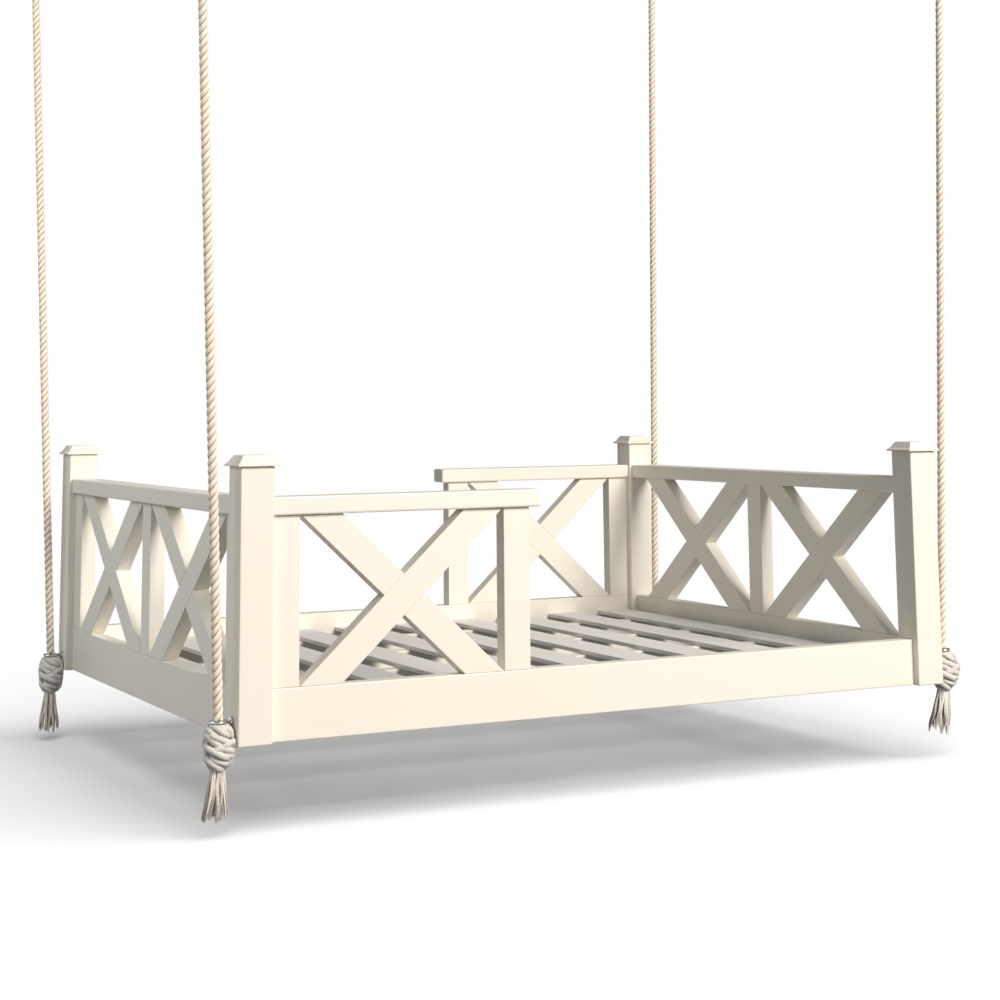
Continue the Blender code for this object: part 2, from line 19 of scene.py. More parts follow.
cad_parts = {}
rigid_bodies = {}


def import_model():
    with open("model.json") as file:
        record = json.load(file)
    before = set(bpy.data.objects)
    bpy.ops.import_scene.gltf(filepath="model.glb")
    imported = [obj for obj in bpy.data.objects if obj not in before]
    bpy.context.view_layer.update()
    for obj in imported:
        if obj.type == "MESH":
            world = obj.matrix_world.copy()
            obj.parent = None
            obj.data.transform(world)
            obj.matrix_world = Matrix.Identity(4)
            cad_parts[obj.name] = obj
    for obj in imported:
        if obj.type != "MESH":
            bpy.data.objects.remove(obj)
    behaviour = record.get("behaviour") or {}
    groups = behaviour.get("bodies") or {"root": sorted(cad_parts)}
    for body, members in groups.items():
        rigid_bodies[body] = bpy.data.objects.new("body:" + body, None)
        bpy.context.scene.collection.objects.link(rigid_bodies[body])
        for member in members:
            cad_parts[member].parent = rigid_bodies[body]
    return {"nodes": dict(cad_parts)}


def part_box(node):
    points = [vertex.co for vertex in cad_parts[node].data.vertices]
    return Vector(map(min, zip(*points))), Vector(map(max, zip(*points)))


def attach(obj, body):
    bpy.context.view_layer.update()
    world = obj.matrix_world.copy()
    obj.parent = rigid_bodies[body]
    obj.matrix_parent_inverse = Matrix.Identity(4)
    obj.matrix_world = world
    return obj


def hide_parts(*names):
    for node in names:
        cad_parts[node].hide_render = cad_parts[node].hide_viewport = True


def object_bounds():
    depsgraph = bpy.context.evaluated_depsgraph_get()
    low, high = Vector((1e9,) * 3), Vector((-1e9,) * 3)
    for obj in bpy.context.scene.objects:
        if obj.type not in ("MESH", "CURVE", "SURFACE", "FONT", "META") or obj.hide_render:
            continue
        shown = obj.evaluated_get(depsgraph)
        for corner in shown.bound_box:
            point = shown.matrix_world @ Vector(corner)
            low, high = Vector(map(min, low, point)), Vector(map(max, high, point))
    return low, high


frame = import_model()
CAD_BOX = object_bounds()
LOG = logging.getLogger("porch_bed")

Colour = tuple[float, float, float]
Place = tuple[float, float, float]


# ---------------- shader maths

class Value:
    """A shader's number, whose maths reads as Python."""

    def __init__(self, graph: "Graph", socket: bpy.types.NodeSocket) -> None:
        """Wraps one output socket of a graph."""
        self.graph = graph
        self.socket = socket

    def _maths(self, operation: str, *values: "Value | float") -> "Value":
        """A Math node's result on the values."""
        return self.graph.node("ShaderNodeMath", {"operation": operation}, dict(enumerate(values)))

    def __add__(self, other: "Value | float") -> "Value":
        """Sum of two numbers."""
        return self._maths("ADD", self, other)

    def __sub__(self, other: "Value | float") -> "Value":
        """Difference of two numbers."""
        return self._maths("SUBTRACT", self, other)

    def __rsub__(self, other: float) -> "Value":
        """Difference of a plain number and this one."""
        return self._maths("SUBTRACT", other, self)

    def __mul__(self, other: "Value | float") -> "Value":
        """Product of two numbers."""
        return self._maths("MULTIPLY", self, other)

    __radd__ = __add__
    __rmul__ = __mul__

    def wave(self) -> "Value":
        """Sine of this number of turns, brought to 0 to 1."""
        return self._maths("SINE", self * math.tau) * 0.5 + 0.5

    def between(self, low: float, high: float) -> "Value":
        """How far this number lies from low to high, kept from 0 to 1 and eased."""
        inputs = {"Value": self, "From Min": low, "From Max": high}
        return self.graph.node("ShaderNodeMapRange", {"interpolation_type": "SMOOTHSTEP"}, inputs)


class Graph:
    """The nodes that feed the shader of a new material, or of a world."""

    def __init__(self, name: str, world: bool = False) -> None:
        """Starts a material or a world.

        Args:
            name: Its name.
            world: Whether it is a world.
        """
        self.made = (bpy.data.worlds if world else bpy.data.materials).new(name)
        self.made.use_nodes = True
        self.tree = self.made.node_tree
        self.shader = self.tree.nodes["Background" if world else "Principled BSDF"]

    def node(self, kind: str, settings: Mapping[str, object] | None = None,
             inputs: Mapping[str | int, object] | None = None, output: str | int = 0) -> Value:
        """Adds any node.

        Args:
            kind: The node's type.
            settings: Its properties, set first.
            inputs: Values or links for its sockets, by name or index.
            output: The socket to return.

        Returns:
            That output, wrapped.
        """
        made = self.tree.nodes.new(kind)
        for key, value in (settings or {}).items():
            setattr(made, key, value)
        for key, value in (inputs or {}).items():
            self.feed(made.inputs[key], value)
        return Value(self, made.outputs[output])

    def feed(self, socket: bpy.types.NodeSocket, value: object) -> None:
        """Fills one socket.

        Args:
            socket: The socket.
            value: A wrapped value to link to it, or a plain one to write into it.
        """
        if isinstance(value, Value):
            self.tree.links.new(value.socket, socket)
        else:
            socket.default_value = value

    def surface(self, **values: object) -> None:
        """Feeds the shader's sockets, named with underscores for spaces."""
        for key, value in values.items():
            self.feed(self.shader.inputs[key.replace("_", " ")], value)

    def noise(self, scale: float, detail: float = 2.0, at: Value | None = None) -> Value:
        """Noise from 0 to 1.

        Args:
            scale: Its features per metre.
            detail: Its octaves.
            at: The coordinates it reads; the object's own if left out.

        Returns:
            The noise's number.
        """
        inputs = {"Vector": at or self.place(), "Scale": scale, "Detail": detail}
        return self.node("ShaderNodeTexNoise", {}, inputs)

    def place(self) -> Value:
        """The point of the surface in its piece's own coordinates."""
        return self.node("ShaderNodeTexCoord", output="Object")

    def mix(self, factor: Value | float, low: object, high: object) -> Value:
        """Colour from low to high by a factor."""
        settings = {"data_type": "RGBA"}
        return self.node("ShaderNodeMix", settings, {0: factor, 6: low, 7: high}, 2)

    def bump(self, height: Value, distance: float, under: Value | None = None) -> Value:
        """A Bump node's normal for a height from 0 to 1.

        Args:
            height: The height, where 1 stands that distance above 0.
            distance: The height of 1, in metres.
            under: The normal of a coarser bump below this one.

        Returns:
            The bumped normal.
        """
        inputs: dict[str | int, object] = {"Height": height, "Distance": distance}
        if under is not None:
            inputs["Normal"] = under
        return self.node("ShaderNodeBump", {}, inputs)


def opaque(colour: Colour) -> tuple[float, float, float, float]:
    """A colour with full alpha."""
    return (*colour, 1.0)


def shaded(colour: Colour, share: float) -> tuple[float, float, float, float]:
    """A colour darkened to a share of itself."""
    return (colour[0] * share, colour[1] * share, colour[2] * share, 1.0)


# ---------------- finishes

@dataclass(frozen=True)
class BrushedPaint:
    """Satin paint brushed along planed timber, with the grain just telegraphing through."""

    name: str
    along: Place  # direction of the board
    colour: Colour = (0.900, 0.865, 0.775)
    roughness: float = 0.40
    grain: float = 0.00012  # height of the grain's ridges
    stretch: float = 26.0  # how much longer than wide its figures are

    def material(self) -> bpy.types.Material:
        """Makes the paint's shader.

        Returns:
            The material.
        """
        graph = Graph(self.name)
        place = graph.place()
        maths = "ShaderNodeVectorMath"
        reach = graph.node(maths, {"operation": "DOT_PRODUCT"}, {0: place, 1: self.along}, "Value")
        squeeze = reach * (1.0 - 1.0 / self.stretch)
        drawn = graph.node(maths, {"operation": "SCALE"}, {0: self.along, "Scale": squeeze})
        figure = graph.node(maths, {"operation": "SUBTRACT"}, {0: place, 1: drawn})
        growth = graph.noise(70.0, 3.0, figure)
        rings = (growth * 9.0).wave()
        bristles = graph.noise(620.0, 2.0, figure)
        mottle = graph.noise(2.3, 2.0)
        tone = (growth * 0.5 + mottle * 0.5).between(0.35, 0.65)
        warm = graph.mix(tone, shaded(self.colour, 0.985), opaque(self.colour))
        pores = (rings * bristles).between(0.45, 0.95) * 0.12
        graph.surface(
            Base_Color=graph.mix(pores, warm, shaded(self.colour, 0.93)),
            Roughness=self.roughness + bristles * 0.10 - rings * 0.04,
            Normal=graph.bump(
                bristles, self.grain * 0.45,
                graph.bump(rings * 0.35 + growth, self.grain, graph.bump(mottle, 0.0012))),
        )
        return graph.made


@dataclass(frozen=True)
class StrandFibre:
    """Fibres that run along a swept strand, read from its turns round and metres along, with
    painted shade in its grooves.
    """

    name: str
    colour: Colour
    shade: Colour  # between the fibres
    yarns: int  # painted shade between the yarns and on the strands' inner flanks, and their darker random tones
    slant: float  # turns that the yarns make in a metre of strand
    relief: float  # height of a yarn
    groove: float = 0.8  # how far the painted shade darkens the strand's inner flanks, in the grooves
    roughness: float = 0.85

    def material(self) -> bpy.types.Material:
        """Makes the fibre's shader.

        Returns:
            The material.
        """
        graph = Graph(self.name)
        wrap = graph.node("ShaderNodeUVMap", {"uv_map": Skin.WRAP})
        around, along = (graph.node("ShaderNodeSeparateXYZ", {}, {0: wrap}, axis) for axis in "XY")
        tint = graph.node("ShaderNodeAttribute", {"attribute_name": Skin.TINT}, output="Fac")
        fuzz = graph.noise(1700.0, 3.0)
        blotch = graph.noise(55.0, 2.0)
        twist = around + along * self.slant
        yarns = (twist * float(self.yarns) + fuzz * 0.12).wave()
        hairs = (twist * float(self.yarns * 7) + fuzz * 0.9).wave()
        # painted shade: darkens the side of each strand that faces the middle of its rope, knot or
        # tassel
        painted_flank_shade = (1.0 - (around + 0.25).wave()).between(0.12, 0.62) * self.groove
        # painted shade between yarns and hairs and on the inner flanks, with random blotches and
        # each strand's own tint
        shade_and_tone = (1.0 - yarns) * 0.20 + (1.0 - hairs) * 0.10 + blotch * 0.14 + tint * 0.14 + painted_flank_shade
        colour = graph.mix(shade_and_tone.between(0.10, 1.05), opaque(self.colour), opaque(self.shade))
        coarse = graph.bump(yarns, self.relief)
        graph.surface(
            Base_Color=colour,
            Roughness=self.roughness - hairs * 0.12,
            Sheen_Weight=0.25,
            Sheen_Roughness=0.4,
            Normal=graph.bump(hairs * 0.6 + fuzz * 0.4, self.relief * 0.35, coarse),
        )
        return graph.made


@dataclass(frozen=True)
class PlatedSteel:
    """Bright zinc plate over steel, a little clouded and scuffed."""

    name: str = "bright_plate"
    colour: Colour = (0.70, 0.71, 0.73)

    def material(self) -> bpy.types.Material:
        """Makes the plate's shader.

        Returns:
            The material.
        """
        graph = Graph(self.name)
        cloud = graph.noise(180.0, 3.0)
        scuffs = graph.noise(1400.0, 4.0)
        tone = cloud.between(0.3, 0.75)
        graph.surface(
            Base_Color=graph.mix(tone, shaded(self.colour, 0.82), opaque(self.colour)),
            Metallic=1.0,
            Roughness=0.13 + cloud * 0.14 + scuffs * 0.06,
            Normal=graph.bump(scuffs, 0.00004),
        )
        return graph.made


# ---------------- mesh tools

class Skin:
    """Gathers swept tubes into one mesh that knows its turns round and metres along."""

    WRAP = "wrap"
    TINT = "tint"

    def __init__(self) -> None:
        """Starts an empty mesh."""
        self.points: list[np.ndarray] = []
        self.faces: list[list[int]] = []
        self.corners: list[tuple[float, float]] = []
        self.tints: list[float] = []
        self.count = 0

    def sweep(self, path: np.ndarray, radii: np.ndarray, sides: int,
              outward: np.ndarray | None = None, flat: float = 1.0, tint: float = 0.5) -> None:
        """Adds one closed tube.

        Args:
            path: Its centre line, one row a ring.
            radii: Its radius at each ring.
            sides: Its sides.
            outward: The direction that its first side faces at each ring; carried along
                the path if left out.
            flat: Its depth outwards as a share of its width.
            tint: Its strand's own shade, from 0 to 1.
        """
        ahead = heading(path)
        out = carried(ahead) if outward is None else outward
        out = out - ahead * (out * ahead).sum(1, keepdims=True)
        out /= np.linalg.norm(out, axis=1, keepdims=True)
        across = np.cross(ahead, out)
        turns = np.linspace(0.0, math.tau, sides, endpoint=False)
        rings = (path[:, None, :]
                 + radii[:, None, None] * flat * np.cos(turns)[None, :, None] * out[:, None, :]
                 + radii[:, None, None] * np.sin(turns)[None, :, None] * across[:, None, :])
        start, last = self.count, len(path) - 1
        self.points += [rings.reshape(-1, 3), path[:1], path[-1:]]
        first_tip, last_tip = start + sides * len(path), start + sides * len(path) + 1
        metres = metres_along(path)
        for ring in range(last):
            low, high = start + ring * sides, start + (ring + 1) * sides
            for side in range(sides):
                turn = (side + 1) % sides
                self.faces.append([low + side, low + turn, high + turn, high + side])
                near, far = side / sides, (side + 1) / sides
                self.corners += [(near, metres[ring]), (far, metres[ring]),
                                 (far, metres[ring + 1]), (near, metres[ring + 1])]
        for side in range(sides):
            turn = (side + 1) % sides
            end = start + last * sides
            self.faces.append([first_tip, start + turn, start + side])
            self.faces.append([last_tip, end + side, end + turn])
            near, far = side / sides, (side + 1) / sides
            self.corners += [(near, 0.0), (far, 0.0), (near, 0.0)]
            self.corners += [(near, metres[last]), (near, metres[last]), (far, metres[last])]
        self.count += sides * len(path) + 2
        self.tints += [tint] * (sides * len(path) + 2)

    def bend(self, rule: Callable[[np.ndarray], np.ndarray]) -> None:
        """Passes every point through a rule."""
        self.points = [rule(points) for points in self.points]

    def make(self, name: str, finish: bpy.types.Material) -> bpy.types.Object:
        """The gathered tubes as one smooth object.

        Args:
            name: The piece's name.
            finish: Its material.

        Returns:
            The object, in the scene.
        """
        mesh = bpy.data.meshes.new(name)
        mesh.from_pydata(np.concatenate(self.points).tolist(), [], self.faces)
        wrap = mesh.uv_layers.new(name=self.WRAP)
        wrap.data.foreach_set("uv", np.array(self.corners, np.float32).ravel())
        tint = mesh.attributes.new(self.TINT, "FLOAT", "POINT")
        tint.data.foreach_set("value", np.array(self.tints, np.float32))
        mesh.shade_smooth()
        return placed(name, mesh, finish)


def heading(path: np.ndarray) -> np.ndarray:
    """Unit direction of a path at each of its points."""
    ahead = np.gradient(path, axis=0)
    return ahead / np.linalg.norm(ahead, axis=1, keepdims=True)


def metres_along(path: np.ndarray) -> np.ndarray:
    """Distance along a path to each of its points."""
    steps = np.linalg.norm(np.diff(path, axis=0), axis=1)
    return np.concatenate([[0.0], np.cumsum(steps)])


def carried(ahead: np.ndarray) -> np.ndarray:
    """Directions square to a path that turn as little as they can along it.

    Args:
        ahead: The path's direction at each ring.

    Returns:
        One direction a ring.
    """
    spare = np.eye(3)[int(np.abs(ahead[0]).argmin())]
    carried_on = [np.cross(ahead[0], spare)]
    for direction in ahead[1:]:
        last = carried_on[-1]
        last = last - direction * float(last @ direction)
        carried_on.append(last / np.linalg.norm(last))
    return np.array(carried_on)


def placed(name: str, mesh: bpy.types.Mesh, finish: bpy.types.Material) -> bpy.types.Object:
    """Puts a mesh into the scene.

    Args:
        name: The object's name.
        mesh: Its mesh.
        finish: Its one material.

    Returns:
        The object.
    """
    mesh.materials.clear()
    mesh.materials.append(finish)
    made = bpy.data.objects.new(name, mesh)
    bpy.context.scene.collection.objects.link(made)
    return made


def settled(maker: bpy.types.Object) -> bpy.types.Mesh:
    """Applies an object's modifiers and removes it.

    Args:
        maker: The object.

    Returns:
        Its mesh, in the scene's coordinates.
    """
    bpy.context.view_layer.update()
    seen = maker.evaluated_get(bpy.context.evaluated_depsgraph_get())
    mesh = bpy.data.meshes.new_from_object(seen)
    mesh.transform(maker.matrix_world)
    bpy.data.objects.remove(maker)
    return mesh


def spaced(start: Vector, end: Vector, step: float) -> np.ndarray:
    """Points on a straight line, at most a step apart."""
    count = max(2, math.ceil((end - start).length / step) + 1)
    return np.linspace(np.array(start), np.array(end), count)


# ---------------- places on the frame

class Corner(Enum):
    """A corner of the bed, by its side along it and across it."""

    FRONT_LEFT = (-1, -1)
    FRONT_RIGHT = (1, -1)
    BACK_RIGHT = (1, 1)
    BACK_LEFT = (-1, 1)

    def node(self, kind: str) -> str:
        """Name of this corner's node of a kind."""
        return f"{kind}_{self.name.lower()}"

    @property
    def to_post(self) -> float:
        """Side along X on which the post stands, seen from its eye."""
        return -float(self.value[0])

    @property
    def eye(self) -> Vector:
        """Middle of the ring.

        Returns:
            The point.
        """
        low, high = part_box(self.node("eye_bolt"))
        ring = (high.y - low.y) / 2
        outer = low.x if self.to_post > 0 else high.x
        return Vector((outer + self.to_post * ring, (low.y + high.y) / 2, (low.z + high.z) / 2))

    @property
    def hook(self) -> Vector:
        """Middle of the ceiling rod where the rope hangs on it."""
        low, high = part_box(self.node("ceiling_eye"))
        return Vector(((low.x + high.x) / 2, (low.y + high.y) / 2, low.z + CeilingEye.rod))


# ---------------- ropes

@dataclass
class CeilingEye:
    """A round plate with a bent rod and two screws, from which a rope hangs."""

    corner: Corner
    finish: bpy.types.Material
    plate: float = 0.045  # radius
    plate_depth: float = 0.006
    bend: float = 0.026  # to the middle of the rod
    screw: float = 0.0052
    screw_out: float = 0.68  # from the plate's middle, as a share of its radius
    rod = 0.006  # radius

    def build(self) -> bpy.types.Object:
        """Makes the fitting in place of its plain solid.

        Returns:
            The piece.
        """
        hook = self.corner.hook
        skin = Skin()
        middle = hook.z + self.bend
        sweep = np.radians(np.linspace(180.0, 360.0, 41))
        arc = np.stack([hook.x + self.bend * np.cos(sweep), np.full(41, hook.y),
                        middle + self.bend * np.sin(sweep)], axis=1)
        top = np.array([[hook.x - self.bend, hook.y, -self.plate_depth / 2]])
        path = np.concatenate([top, arc, top + [[2 * self.bend, 0.0, 0.0]]])
        skin.sweep(path, np.full(len(path), self.rod), 20)
        edge = 0.0012
        self._disc(skin, hook, self.plate, [
            (1.0 - edge / self.plate, -self.plate_depth), (1.0, edge - self.plate_depth),
            (1.0, -edge), (1.0 - edge / self.plate, 0.0)])
        for side in (-1.0, 1.0):
            screw = hook + Vector((0.0, side * self.plate * self.screw_out, 0.0))
            self._disc(skin, screw, self.screw, [
                (0.45, -self.plate_depth - self.screw * 0.55),
                (0.85, -self.plate_depth - self.screw * 0.35),
                (1.0, -self.plate_depth), (1.0, -self.plate_depth / 2)])
        piece = skin.make(self.corner.node("ceiling_fitting"), self.finish)
        piece.data.set_sharp_from_angle(angle=math.radians(40))
        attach(piece, "ceiling")
        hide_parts(self.corner.node("ceiling_eye"))
        return piece

    def _disc(self, skin: Skin, at: Vector, radius: float,
              profile: Sequence[tuple[float, float]]) -> None:
        """Adds an upright turned disc, from its profile of (share of radius, height)."""
        path = np.array([[at.x, at.y, height] for _, height in profile])
        skin.sweep(path, np.array([radius * share for share, _ in profile]), 48)


@dataclass
class HangingRope:
    """A right-laid rope of three strands, from its ring up to a spliced loop."""

    corner: Corner
    finish: bpy.types.Material
    diameter: float = 0.0255
    lay: float = 0.062  # length of one turn of a strand
    declared: float = 0.024  # nominal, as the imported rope
    foot_lift: float = 0.0024  # of its foot over the ring's middle, to swing clear
    loop_inside: float = 0.026
    loop_length: float = 0.085  # middle of the loop down to its throat
    play: float = 0.0009  # between the loop and its rod
    splice: float = 0.110
    tuck: float = 0.0118  # middle of a tucked strand from the rope's own
    rings: int = 16  # to a turn
    sides: int = 14
    press: float = 1.09  # how much wider than deep the strands are squeezed

    def __post_init__(self) -> None:
        """Works out the line that the rope follows."""
        self.bottom, self.top = self.corner.eye, self.corner.hook
        self.up = (self.top - self.bottom).normalized()
        self.side = self.up.cross(Vector((1.0, 0.0, 0.0))).normalized()
        middle = CeilingEye.rod + self.play - self.loop_inside
        self.loop_middle = self.top + self.up * middle
        self.throat = self.loop_middle - self.up * self.loop_length
        self.strand = self.diameter / 2 / (1 + 1 / math.sin(math.pi / 3))
        self.reach = self.diameter / 2 - self.strand

    def build(self) -> list[bpy.types.Object]:
        """Makes the rope and its loop in place of the plain rope.

        Returns:
            The rope and the loop.
        """
        foot = self.bottom + self.up * self.foot_lift
        line = spaced(foot, self.throat, self.lay / self.rings)
        skin = Skin()
        for index in range(3):
            self._strand(skin, line, index / 3, self.reach, self.strand)
        rope = skin.make(self.corner.node("laid_rope"), self.finish)
        loop = self._loop()
        for piece in (rope, loop):
            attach(piece, self.corner.node("rope"))
        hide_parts(self.corner.node("rope"))
        (self.throat - self.bottom).length
        spaced(self.bottom, self.throat, 2 * self.declared)
        return [rope, loop]

    def _strand(self, skin: Skin, line: np.ndarray, phase: float,
                reach: float | np.ndarray, radius: float | np.ndarray) -> None:
        """Adds one strand that winds round a line.

        Args:
            skin: The mesh it joins.
            line: The rope's middle, one row a ring.
            phase: Where the strand starts, as a share of a turn.
            reach: How far its middle lies from the rope's, at each ring or everywhere.
            radius: Its radius, at each ring or everywhere.
        """
        ahead, along = heading(line), metres_along(line)
        first = carried(ahead)
        second = np.cross(ahead, first)
        turn = (math.tau * (along / self.lay + phase))[:, None]
        out = np.cos(turn) * first + np.sin(turn) * second
        wander = 1.0 + 0.018 * np.sin(along * 37.0 + phase * 11.0) + 0.012 * np.sin(along * 211.0)
        path = line + out * np.broadcast_to(reach, along.shape)[:, None]
        radii = np.broadcast_to(radius, along.shape) * wander
        skin.sweep(path, radii * self.press, self.sides, out, 1.0 / self.press,
                   0.2 + 0.3 * ((phase * 3) % 3))

    def _loop(self) -> bpy.types.Object:
        """Makes the loop over the rod, with its ends tucked back into the rope.

        Returns:
            The piece.
        """
        radius = self.loop_inside + self.diameter / 2
        lean = math.acos(radius / self.loop_length)
        angles = np.linspace(lean - math.pi / 2, 3 * math.pi / 2 - lean, 64)
        bend = np.array([self.loop_middle + self.side * (radius * math.cos(angle))
                         + self.up * (radius * math.sin(angle)) for angle in angles])
        throat = np.array([self.throat])
        corners = np.concatenate([throat, bend, throat])
        steps = metres_along(corners)
        even = np.linspace(0.0, steps[-1], 120)
        line = np.stack([np.interp(even, steps, corners[:, axis]) for axis in range(3)], axis=1)
        skin = Skin()
        for index in range(3):
            self._strand(skin, line, index / 3, self.reach, self.strand)
        foot = self.throat - self.up * self.splice
        line = spaced(foot, self.throat + self.up * self.diameter * 0.4, 0.0025)
        share = np.linspace(0.0, 1.0, len(line))
        swell = np.sin(np.clip(share * 1.6, 0.0, 1.0) * math.pi / 2) ** 0.7
        close = np.sqrt(np.clip((1.0 - share) / 0.12, 0.0, 1.0))
        for index in range(3):
            reach = self.reach + (self.tuck - self.reach) * swell * (0.4 + 0.6 * close)
            radius_here = self.strand * (0.25 + 0.72 * swell) * (0.3 + 0.7 * close)
            self._strand(skin, line, (index + 0.5) / 3, reach, radius_here)
        return skin.make(self.corner.node("eye_splice"), self.finish)


# ---------------- knots and tassels

FACING = 27.1  # degrees that the viewer stands round from the bed's front


def around(degrees: np.ndarray | float) -> np.ndarray:
    """Level direction at an angle to the right of the viewer's side."""
    angle = np.radians(np.asarray(degrees) - FACING)
    return np.stack([np.sin(angle), -np.cos(angle), np.zeros_like(angle)], axis=-1)


@dataclass(frozen=True)
class Fold:
    """One strand that shows on a side of the knot, drawn in millimetres."""

    bends: tuple[tuple[float, float], ...]  # across to the right and down from the ring
    thick: float  # radius
    lift: float  # how proud of the knot it lies


@dataclass
class StopperKnot:
    """The rope's strands tucked over and under one another into a fat knot below the ring.

    The folds are drawn as they show from the viewer's side, and placed again on the far side.
    """

    corner: Corner
    finish: bpy.types.Material
    seed: int
    post_face: float = 0.0354  # from the ring's middle, a hair off the post
    nut_face: float = 0.0280
    nut_reach: float = 0.0125
    core: float = 0.62  # share of the knot that the core fills
    overrun: float = 1.35  # how far a strand runs, where its drawn ends are at 1
    dive_from: float = 0.62  # where it starts to dive under the others
    dive: float = 1.9  # how steeply, in its own radii
    ring_clear: float = 0.0046  # from the ring's middle down to the knot
    folds: tuple[Fold, ...] = (
        Fold(((-34, 14), (-16, 19), (2, 31)), 7.5, -3),
        Fold(((-6, 6), (10, 14), (28, 28)), 7.8, 1),
        Fold(((22, 8), (36, 20), (41, 38)), 7.6, -1),
        Fold(((-36, 26), (-14, 36), (15, 56)), 8.6, -1),
        Fold(((-10, 29), (14, 36), (39, 50)), 8.2, 1),
        Fold(((23, 53), (40, 43), (50, 60)), 7.8, 3),
        Fold(((-2, 69), (20, 58), (46, 76)), 9, 0),
        Fold(((-26, 55), (0, 66), (25, 80)), 9, 2),
        Fold(((-34, 48), (-36, 66), (-26, 84)), 8, -2),
        Fold(((-8, 84), (12, 90), (32, 97)), 7, -3),
        Fold(((30, 74), (42, 86), (30, 101)), 7.8, -2),
        Fold(((-28, 84), (-6, 94), (16, 110)), 8.8, 1),
        Fold(((-36, 80), (-34, 94), (-22, 108)), 7.8, -2),
    )
    barrel: tuple[tuple[float, float], ...] = (  # depth below the ring, radius
        (0.000, 0.021), (0.008, 0.032), (0.020, 0.0390), (0.045, 0.0425), (0.062, 0.0430),
        (0.078, 0.0415), (0.092, 0.0375), (0.104, 0.0300), (0.114, 0.0200),
    )
    shift: float = 0.0060  # how far the knot sits off its ring, at its fattest
    shift_turn: float = 68.0  # degrees from the viewer's side
    hang: float = 0.12  # depth at which its middle is back under the ring
    core_ends: tuple[float, float] = (0.004, 0.112)  # depths below the ring
    run_on: float = 14.0  # degrees that a diving end goes on round the knot
    loose_depth: float = 0.0008  # how much the folds differ at random, in depth,
    loose_thick: float = 0.03  # in thickness, as a share of it,
    loose_turn: float = 1.5  # and in degrees round the knot
    shoulders: int = 5  # strands that leave the rope under the ring
    first_shoulder: float = 12.0  # degrees from the viewer's side

    def build(self) -> bpy.types.Object:
        """Makes the knot in place of the plain knot and tassel.

        Returns:
            The piece.
        """
        random = np.random.default_rng(self.seed)
        skin = Skin()
        depths = np.linspace(*self.core_ends, 24)
        # The core shows only in the gaps between the folds; its tint of 1.0 paints it darkest
        # there, as painted shade.
        skin.sweep(np.stack([self._middle(depth) for depth in depths]),
                   self._radius(depths) * self.core, 20, tint=1.0)
        for turn in (0.0, 180.0):
            for fold in self.folds:
                self._tuck(skin, fold, turn, random.normal(0.0, 1.0, 3))
        for index in range(self.shoulders):
            self._shoulder(skin, index * 360.0 / self.shoulders + self.first_shoulder)
        skin.bend(self._pressed)
        knot = skin.make(self.corner.node("tucked_knot"), self.finish)
        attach(knot, "bed")
        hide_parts(self.corner.node("knot"))
        return knot

    def _radius(self, depth: np.ndarray) -> np.ndarray:
        """The knot's radius at depths below the ring."""
        return np.interp(depth, *zip(*self.barrel))

    def _middle(self, depth: float) -> np.ndarray:
        """Middle of the knot at a depth below the ring."""
        sag = math.sin(min(1.0, max(0.0, depth / self.hang)) * math.pi)
        return (np.array(self.corner.eye) - [0.0, 0.0, depth]
                + around(self.shift_turn) * self.shift * sag)

    def _tuck(self, skin: Skin, fold: Fold, turn: float, loose: np.ndarray) -> None:
        """Adds one strand that shows.

        Args:
            skin: The mesh it joins.
            fold: Its bends.
            turn: Degrees round from the viewer's side.
            loose: Three small random numbers that set it off its drawn place.
        """
        share = np.linspace(-self.overrun, self.overrun, 31)
        across, depth = (self._curve(share, [bend[axis] / 1000.0 for bend in fold.bends])
                         for axis in (0, 1))
        depth = np.clip(depth + self.loose_depth * loose[0], 0.005, 0.116)
        thick = fold.thick / 1000.0 * (1.0 + self.loose_thick * loose[1])
        beyond = np.clip(np.abs(share) - self.dive_from, 0.0, None)
        reach = (self._radius(depth) - thick + fold.lift / 1000.0
                 - self.dive * thick * beyond ** 1.5)
        side = np.clip((across - self.shift) / (self._radius(depth) - thick), -0.985, 0.985)
        degrees = np.degrees(np.arcsin(side)) + turn + self.loose_turn * loose[2]
        degrees = degrees + self.run_on * np.sign(share) * beyond
        path = np.stack([self._middle(z) for z in depth]) + around(degrees) * reach[:, None]
        radii = thick * np.sqrt(1.0 - 0.62 * (np.abs(share) / self.overrun) ** 5.0)
        skin.sweep(path, radii, 16, around(degrees), flat=0.88, tint=0.5 + 0.16 * loose[1])

    def _curve(self, share: np.ndarray, bends: Sequence[float]) -> np.ndarray:
        """Draws a smooth curve through three values, run on straight past them.

        Args:
            share: Where along the curve, with the three values at -1, 0 and 1.
            bends: The three values.

        Returns:
            The curve's value at each share.
        """
        low, middle, high = bends
        slope, curve = (high - low) / 2, (high + low) / 2 - middle
        inside = np.clip(share, -1.0, 1.0)
        past = share - inside
        return middle + slope * inside + curve * inside ** 2 + past * (slope + 2 * curve * inside)

    def _shoulder(self, skin: Skin, degrees: float) -> None:
        """Adds one strand that leaves the rope under the ring and turns down.

        Args:
            skin: The mesh it joins.
            degrees: Where it leaves, round from the viewer's side.
        """
        share = np.linspace(0.0, 1.0, 15)
        depth = 0.0065 + 0.016 * share ** 2
        reach = 0.006 + 0.021 * np.sin(share * math.pi / 2)
        turns = degrees + 34.0 * share
        path = np.stack([self._middle(z) for z in depth]) + around(turns) * reach[:, None]
        radii = 0.0072 * np.sqrt(1.0 - 0.7 * share ** 4)
        skin.sweep(path, radii, 14, around(turns), tint=0.45)

